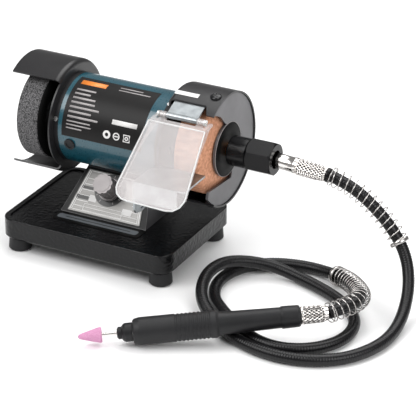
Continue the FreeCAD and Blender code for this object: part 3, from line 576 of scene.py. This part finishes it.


def knurled(origin, direction, outline, start, end):
    """Turned sleeve whose middle carries raised diamonds; lists the groove faces too, which get
    painted shade.
    """
    along, side, up = axes(direction)
    sides = KNURL_AROUND * 4
    rings = []
    s = start
    while s < end:
        rings.append(s)
        s += KNURL_PITCH / 8

    def radius_at(s):
        for (s0, r0), (s1, r1) in zip(outline, outline[1:]):
            if s0 <= s <= s1 and s1 > s0:
                return r0 + (r1 - r0) * (s - s0) / (s1 - s0)
        return outline[-1][1]

    closest = 0.05           # of two rings nearer than this, the second is left out
    marks = sorted(set([s for s, _ in outline] + rings))
    marks = [s for k, s in enumerate(marks) if k == 0 or s - marks[k - 1] > closest]
    points = []
    lifts = []
    for s in marks:
        for step in range(sides):
            angle = 2 * math.pi * step / sides
            lift = KNURL_DEPTH
            if start < s < end:
                a = math.cos(step * math.pi / 2 + 2 * math.pi * s / KNURL_PITCH)
                b = math.cos(step * math.pi / 2 - 2 * math.pi * s / KNURL_PITCH)
                lift = KNURL_DEPTH * max(a, b)
            lifts.append(lift / KNURL_DEPTH)
            r = radius_at(s) + lift - KNURL_DEPTH
            points.append(Vector(origin) + along * s
                          + (side * math.cos(angle) + up * math.sin(angle)) * r)
    faces = ring_faces(len(marks), sides)
    grooves = [n for n, face in enumerate(faces)
               if sum(lifts[i] for i in face) < len(face) * SHADE_BELOW]
    return points, faces, grooves


def add_knurled(name, knurl, m):
    points, faces, grooves = knurl
    sleeve = add_mesh(name, points, faces, m["knurl"], slot="knurled_steel", smooth=False)
    # groove faces get the dark material: painted shade
    sleeve.data.materials.append(m["groove"])
    for index in grooves:
        sleeve.data.polygons[index].material_index = 1
    return sleeve


def make_front_sleeve(m):
    outline = [(19.7, 5.9), (20.6, 6.6), (36.0, 6.45), (43.0, 5.5), (45.2, 5.0), (48.0, 4.9)]
    knurl = knurled(FERRULE_START, FERRULE_LINE, outline, start=21.0, end=43.6)
    sleeve = add_knurled("front_knurled_sleeve", knurl, m)
    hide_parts("front_sleeve")
    band = [(44.6, 4.7), (44.6, 5.5), (45.2, 5.7), (47.4, 5.5), (48.0, 5.1), (48.0, 4.7),
            (44.6, 4.7)]
    add_mesh("sleeve_end_band", *lathe(FERRULE_START, FERRULE_LINE, band, 48), m["gloss_black"],
             slot="black_gloss")
    return sleeve


def make_front_ferrule(m):
    tip = [(-4.0, 0.0), (-4.0, 6.1), (9.0, 6.1), (17.4, 6.25), (17.8, 6.5), (19.3, 6.5),
           (19.7, 6.2), (19.7, 0.0)]
    ferrule = add_mesh("front_chrome_ferrule", *lathe(FERRULE_START, FERRULE_LINE, tip, 72),
                       m["chrome"], slot="chrome_steel")
    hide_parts("front_ferrule")
    return ferrule


NOSE = Vector((92.0, -137.0, 11.2))   # the handpiece's front end
TO_REAR = Vector((0.867, 0.489, 0.094)).normalized()


def make_rear_sleeve(m):
    outline = [(122.4, 6.2), (123.4, 6.75), (138.0, 6.5), (141.0, 5.6), (143.0, 5.0)]
    knurl = knurled(NOSE, TO_REAR, outline, start=124.2, end=140.0)
    sleeve = add_knurled("rear_knurled_sleeve", knurl, m)
    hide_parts("rear_sleeve")
    return sleeve


# -------------------------------------------------------------------- label

LABEL = 36.06          # radius of the label's face
PRINT = 36.14          # and of the print's
LABEL_LEFT = -35.5
SIGN_ANGLE = 77.5      # the row of signs


def bar(left, length, angle, height):
    """Blank line of print on the label; its height is in degrees."""
    return can_patch(left, left + length, angle, angle + height, LABEL, PRINT)


def make_label_print(m):
    """Blank bars where a rating label has its lines, and plain rings for its signs."""
    large = [bar(LABEL_LEFT, length, 26.5 + row * 6.2, 2.5)
             for row, length in enumerate((17, 14, 20, 21, 26, 20, 27))]
    add_mesh("label_lines", *merge(large), m["print_grey"], slot="label_white")
    small = [bar(LABEL_LEFT, length, 70.0 + row * 4.4, 1.6)
             for row, length in enumerate((21, 22, 14))]
    small += [bar(-2.0, length, 10.0 + row * 5.0, 1.6) for row, length in enumerate((20, 28))]
    add_mesh("label_small_lines", *merge(small), m["print_grey"], slot="label_white")
    add_mesh("label_heading", *can_patch(LABEL_LEFT, -13.0, 10.5, 18.5, LABEL, PRINT),
             m["print_orange"], slot="label_white")
    add_mesh("label_blank_box", *can_patch(4.0, 26.0, 57.5, 63.5, LABEL, PRINT),
             m["print_white"], slot="label_white")
    signs = [can_ring(1.0, SIGN_ANGLE, 3.3, 1.5), can_ring(9.5, SIGN_ANGLE, 3.0, 2.1),
             can_patch(7.7, 11.3, 76.8, 78.2, LABEL, PRINT, 1),
             can_ring(18.5, SIGN_ANGLE, 4.2, 3.2, 4), can_ring(18.5, SIGN_ANGLE, 1.6, 0.7)]
    add_mesh("label_signs", *merge(signs), m["print_white"], slot="label_white", smooth=False)


def can_ring(x, angle, outer, inner, sides=28):
    """Flat printed ring on the label; with four sides it is a square outline."""
    points = []
    for step in range(sides):
        turn = 2 * math.pi * (step + 0.5) / sides
        for size, level in ((outer, LABEL), (outer, PRINT), (inner, PRINT), (inner, LABEL)):
            shift = math.degrees(size * math.sin(turn) / LABEL)
            points.append(on_can(x + size * math.cos(turn), angle + shift, level))
    faces = []
    for step in range(sides):
        a = step * 4
        b = (step + 1) % sides * 4
        faces += [(a + k, b + k, b + (k + 1) % 4, a + (k + 1) % 4) for k in range(4)]
    return points, faces


# ------------------------------------------------------------ control panel

def panel_edges(up):
    """The panel's left and right edges at a height up the slope."""
    share = (up - PANEL_LOW) / (PANEL_HIGH - PANEL_LOW)
    return PANEL_LEFT + PANEL_TAPER * share, PANEL_RIGHT - PANEL_TAPER * share


def make_panel_print(m):
    first, last = 3.0, 37.2      # run of the border lines up the slope
    inset, line = 3.4, 0.6       # the level lines start this far in, and are this wide
    border = []
    for side, lean in ((0, 1), (1, -1)):
        for shift, width in ((0.9, 0.7), (2.4, 0.5)):
            low = panel_edges(first)[side] + lean * shift
            high = panel_edges(last)[side] + lean * shift
            border.append(panel_bar([(low, first), (low + lean * width, first),
                                     (high + lean * width, last), (high, last)][::lean]))
    for up in (3.2, 6.6, 36.6):
        left, right = panel_edges(up)
        border.append(panel_bar(rectangle(left + inset, right - inset, up, up + line)))
    for up in (11.0, 15.8, 20.6, 25.4, 30.2):
        left, _ = panel_edges(up)
        border.append(panel_bar(rectangle(left + inset, left + 13.5, up, up + line)))
    for up in (11.0, 15.8):
        _, right = panel_edges(up)
        border.append(panel_bar(rectangle(right - 9.0, right - inset, up, up + line)))
    border.append(panel_bar(rectangle(-19.0, -12.4, 12.2, 17.6), PANEL_OVERPRINT))
    border.append(panel_bar(rectangle(12.4, 21.0, 7.6, 12.6), PANEL_OVERPRINT))
    add_mesh("panel_lines", *merge(border), m["print_white"], slot="label_white", smooth=False)
    dark = []
    for up, height, left, right in ((12.8, 3.2, -30.6, -19.6), (21.6, 2.4, -28.4, -18.0),
                                    (31.4, 2.2, -17.2, -13.2)):
        dark.append(panel_bar(rectangle(left, right, up, up + height)))
    add_mesh("panel_bars", *merge(dark), m["panel_dark"], slot="panel_black", smooth=False)
    frame_lines = []
    for x0, x1, u0, u1 in ((-21.5, 13.5, 3.9, 4.4), (-21.5, 13.5, 9.4, 9.9),
                           (-21.5, -21.0, 4.4, 9.4), (13.0, 13.5, 4.4, 9.4)):
        frame_lines.append(panel_bar(rectangle(x0, x1, u0, u1), PANEL_OVERPRINT))
    add_mesh("panel_blank_frame", *merge(frame_lines), m["print_white"], slot="label_white",
             smooth=False)
    inner, outer, half = 10.6, 12.4, 0.28
    ticks = []
    for degrees in range(-150, 151, 30):
        turn = math.radians(degrees)
        s, c = math.sin(turn), math.cos(turn)
        corners = []
        for r, w in ((inner, -half), (inner, half), (outer, half), (outer, -half)):
            corners.append((KNOB_X + r * s + w * c, KNOB_UP + r * c - w * s))
        ticks.append(panel_bar(corners[::-1], DIAL_PRINT))
    add_mesh("dial_ticks", *merge(ticks), m["print_grey"], slot="label_white", smooth=False)


def make_panel_surround(m):
    """Black margin of the slope round the silver panel."""
    clear = 0.3              # from the slope's own edges
    low, high = 0.4, 40.0    # run of the margin up the slope
    gap = 0.1                # to the panel's lower and upper edge

    def slope_edges(up):
        lean = SLOPE_TAPER * up / SLOPE_LENGTH + clear
        return SLOPE_LEFT + lean, SLOPE_RIGHT - lean

    margin = []
    for side in (0, 1):
        corners = [(slope_edges(low)[side], low), (panel_edges(PANEL_LOW)[side], low),
                   (panel_edges(PANEL_HIGH)[side], high), (slope_edges(high)[side], high)]
        margin.append(panel_bar(corners if side == 0 else corners[::-1], MARGIN_PRINT))
    for start, end in ((low, PANEL_LOW - gap), (PANEL_HIGH + gap, high)):
        left, right = panel_edges(start)
        margin.append(panel_bar(rectangle(left, right, start, end), MARGIN_PRINT))
    add_mesh("panel_surround", *merge(margin), m["surround"], slot="panel_black", smooth=False)


def make_strip_print(m):
    """Blue-grey bar with round corners on the black strip, and a blank line on it."""
    under, top, line_top = 28.1, 28.2, 28.25
    face = rounded(-37.0, 34.5, -30.8, -24.0, 2.0)
    add_mesh("strip_face", *deck_print(face, under, top), m["blue_grey"], slot="panel_black",
             smooth=False)
    line = rectangle(-30.0, 28.0, -27.9, -26.9)
    add_mesh("strip_lines", *deck_print(line, top, line_top), m["panel_dark"],
             slot="panel_black", smooth=False)


def rounded(x0, x1, y0, y1, radius):
    """Corners of a rectangle with round corners."""
    steps = 6
    centres = ((x1 - radius, y1 - radius), (x0 + radius, y1 - radius),
               (x0 + radius, y0 + radius), (x1 - radius, y0 + radius))
    corners = []
    for quarter, (x, y) in enumerate(centres):
        for step in range(steps + 1):
            turn = math.pi / 2 * (quarter + step / steps)
            corners.append((x + radius * math.cos(turn), y + radius * math.sin(turn)))
    return corners


def deck_print(corners, low, high):
    return slab([Vector((x, y, low)) for x, y in corners],
                [Vector((x, y, high)) for x, y in corners])


# ------------------------------------------------------------------- screws

def cross_head(name, centre, direction, radius, height, m):
    """Domed screw head with a dark cross on it: painted shade where its cross recess is."""
    along, side, up = axes(direction)
    centre = Vector(centre)
    rim, dome = 0.35, 0.65       # shares of the height
    profile = [(0.0, radius), (height * rim, radius)]
    for step in range(1, 9):
        turn = math.pi / 2 * step / 8
        profile.append((height * (rim + dome * math.sin(turn)), radius * math.cos(turn)))
    head = add_mesh(name, *lathe(centre, along, profile, 48), m["steel_dark"],
                    slot="screw_steel")
    # two dark bars on top: painted shade of the cross recess
    reach, half = radius * 0.55, radius * 0.13
    bars = []
    for a, b in ((side, up), (up, side)):
        corners = []
        for level in (height * 0.6, height * 1.01):
            for u, v in ((-1, -1), (1, -1), (1, 1), (-1, 1)):
                corners.append(centre + along * level + a * (u * reach) + b * (v * half))
        bars.append(slab(corners[:4], corners[4:]))
    add_mesh(name + "_cross_recess_shade", *merge(bars), m["panel_dark"], slot="screw_steel", smooth=False)
    return head


def make_screws(m):
    hood_x, hood_radius = 82.0, 46.0
    for number, angle in ((1, 10.0), (2, 166.0)):
        turn = math.radians(angle)
        out = (0.0, -math.sin(turn), math.cos(turn))
        cross_head("hood_screw_%d" % number, on_can(hood_x, angle, hood_radius),
                                out, 4.4, 2.2, m)
    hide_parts("flex_bracket_screws")


# -------------------------------------------------------------------- wheels

def spindle_ring(name, profile, material, body, slot):
    """Turned ring about the spindle from (x, radius) pairs."""
    add_mesh(name, *lathe((0, AXIS_Y, AXIS_Z), (1, 0, 0), profile, 96), material,
             body=body, slot=slot)


def make_wheel_faces(m):
    # dark disc on the grinding wheel's face towards the motor: painted shade
    dark = [(-61.3, 13.2), (-61.15, 13.2), (-61.15, 36.6), (-61.3, 36.6), (-61.3, 13.2)]
    spindle_ring("grinding_wheel_face", dark, m["wheel_face"], "rotor", "abrasive_grey")
    # black disc on the bracket's recessed hub: painted shade
    hub = [(88.5, 5.4), (88.75, 5.4), (88.75, 21.4), (88.5, 21.6), (88.5, 5.4)]
    spindle_ring("bracket_hub_painted_shade", hub, m["wheel_face"], "frame", "black_gloss")
    # light grey ring round the hub's edge: a painted highlight
    rim = [(88.5, 21.5), (88.8, 21.6), (88.8, 21.85), (88.5, 22.0), (88.5, 21.5)]
    spindle_ring("bracket_hub_painted_highlight", rim, m["print_grey"], "frame", "black_gloss")


# ------------------------------------------------------------------- shield

SHIELD_FALL = math.radians(42.7)      # how steeply the clear sheet hangs
SHIELD_Y, SHIELD_Z = -19.8, 123.5     # its upper edge
EDGE_RADIUS = 0.62
EDGE_INSET = 0.7


def make_shield_edges(m):
    """Frosted cut edges of the clear sheet, their bright white also a painted highlight."""
    def spot(x, s):
        return Vector((x, SHIELD_Y - s * math.cos(SHIELD_FALL),
                       SHIELD_Z - s * math.sin(SHIELD_FALL)))

    outline = [(41.0, 0.0), (36.1, 54.5), (36.4, 58.5), (38.8, 63.0), (43.5, 66.0),
               (49.0, 66.8), (82.0, 67.4), (87.5, 66.4), (92.0, 62.6), (93.9, 57.6),
               (93.9, 54.5), (89.0, 0.0), (41.0, 0.0)]
    line = [spot(x, s) for x, s in outline]
    dense = []
    for a, b in zip(line, line[1:]):
        dense += [a.lerp(b, k / 6) for k in range(6)]
    dense.append(line[-1])
    inward = Vector((0, math.sin(SHIELD_FALL), -math.cos(SHIELD_FALL)))
    dense = [p + inward * EDGE_INSET for p in dense]
    add_mesh("shield_edge_frost_and_highlight", *wire(dense, EDGE_RADIUS, 8), m["clear_edge_frost_and_highlight"],
             body="shield", slot="shield_clear")


# ----------------------------------------------------------------- lighting

def area(name, place, aim, size, power):
    light = bpy.data.lights.new(name, "AREA")
    light.size = size
    light.energy = power
    lamp = bpy.data.objects.new(name, light)
    bpy.context.scene.collection.objects.link(lamp)
    lamp.location = place
    lamp.rotation_euler = (Vector(place) - Vector(aim)).to_track_quat("Z", "Y").to_euler()


def make_studio(m):
    scene = bpy.context.scene
    scene.view_settings.view_transform = "Standard"
    world = bpy.data.worlds.new("studio")
    scene.world = world
    world.use_nodes = True
    world.node_tree.nodes["Background"].inputs["Color"].default_value = (1, 1, 1, 1)
    world.node_tree.nodes["Background"].inputs["Strength"].default_value = 0.25
    area("key", (-0.5, -0.9, 1.3), (0.05, 0, 0.05), 1.1, 19.0)
    area("fill", (1.2, -0.5, 0.8), (0.1, 0, 0.05), 0.9, 10.0)
    area("top", (0.1, 0.5, 1.2), (0.05, 0, 0.05), 1.2, 16.0)
    mesh = bpy.data.meshes.new("floor")
    size = 6.0
    mesh.from_pydata([(-size, -size, 0), (size, -size, 0), (size, size, 0), (-size, size, 0)],
                     [], [(0, 1, 2, 3)])
    floor = bpy.data.objects.new("floor", mesh)
    scene.collection.objects.link(floor)
    floor.location.z = -0.0003           # just under the feet
    mesh.materials.append(m["floor"])


make_camera()
materials = make_materials()
make_shaft(materials)
dress_nodes(materials)
make_label_print(materials)
make_panel_print(materials)
make_panel_surround(materials)
make_strip_print(materials)
make_screws(materials)
make_wheel_faces(materials)
make_shield_edges(materials)
make_studio(materials)
